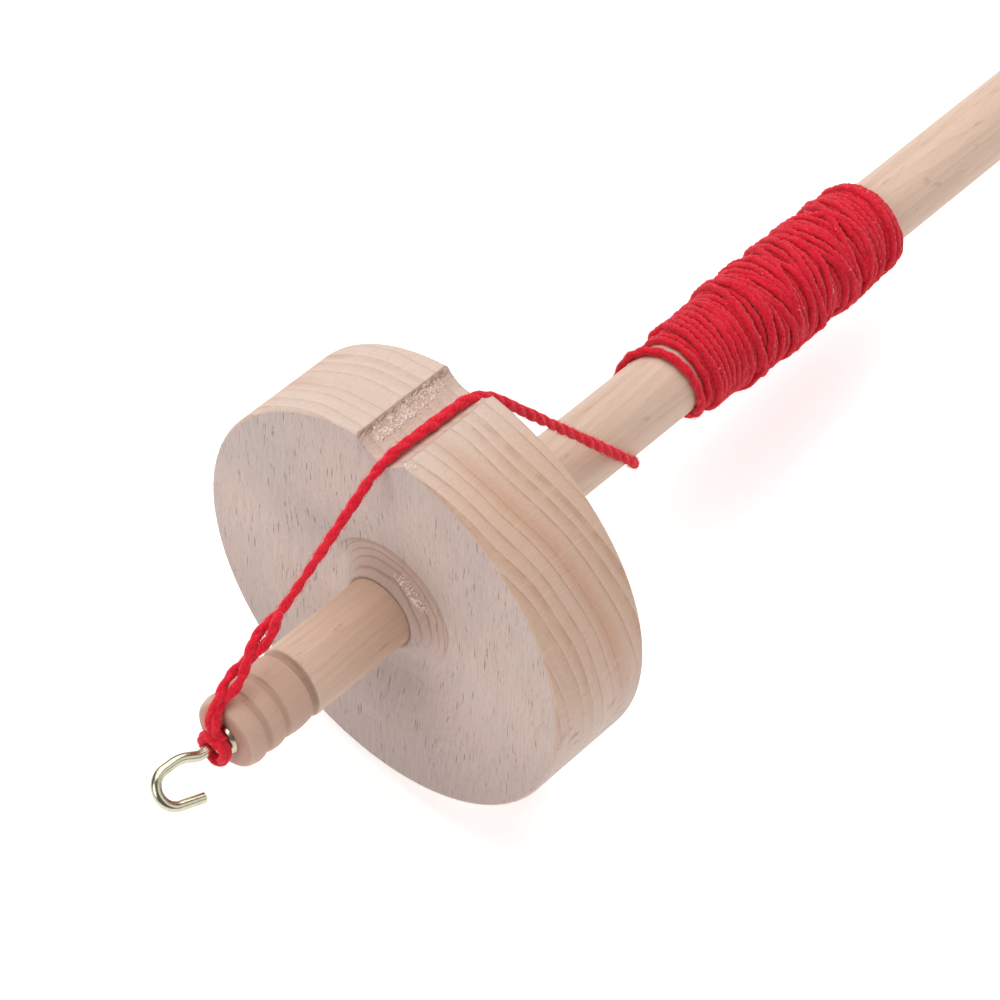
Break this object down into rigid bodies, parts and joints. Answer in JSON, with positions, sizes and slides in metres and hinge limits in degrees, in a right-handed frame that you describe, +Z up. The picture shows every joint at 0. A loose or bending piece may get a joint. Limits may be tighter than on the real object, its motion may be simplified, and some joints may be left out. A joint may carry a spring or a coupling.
{
  "type": "drop spindle",
  "caption": "Top-whorl drop spindle: wooden disc with a rim notch on a dowel, brass screw hook at the tip, yarn tied on, led over the notch and wound on the shaft.",
  "frame": {"origin": "middle of the bounding box at ground level, with the spindle lying on the back rim of its whorl and the far end of its shaft", "axes": "+Z up, +X horizontal along the spindle towards the plain far end of the shaft, hook towards -X"},
  "size_m": [0.3138, 0.075, 0.0772],
  "materials": {
    "shaft_wood": "fine sanded bare beech dowel",
    "whorl_wood": "sanded bare beech, turned",
    "brass": "polished",
    "yarn": "red wool, handspun"
  },
  "bodies": {
    "spindle": {"shaft": "shaft_wood", "whorl": "whorl_wood", "yarn_cop": "yarn", "yarn_lead": "yarn", "yarn_tail": "yarn", "yarn_hitch": "yarn"},
    "hook": {"hook": "brass", "hook_collar": "brass"}
  },
  "joints": [
    {"name": "hook_turn", "type": "hinge", "parent": "spindle", "child": "hook", "pos_m": [-0.14135, 0, 0.04423], "axis": [-0.9918, 0, 0.1282], "range_deg": [0, 180]}
  ]
}
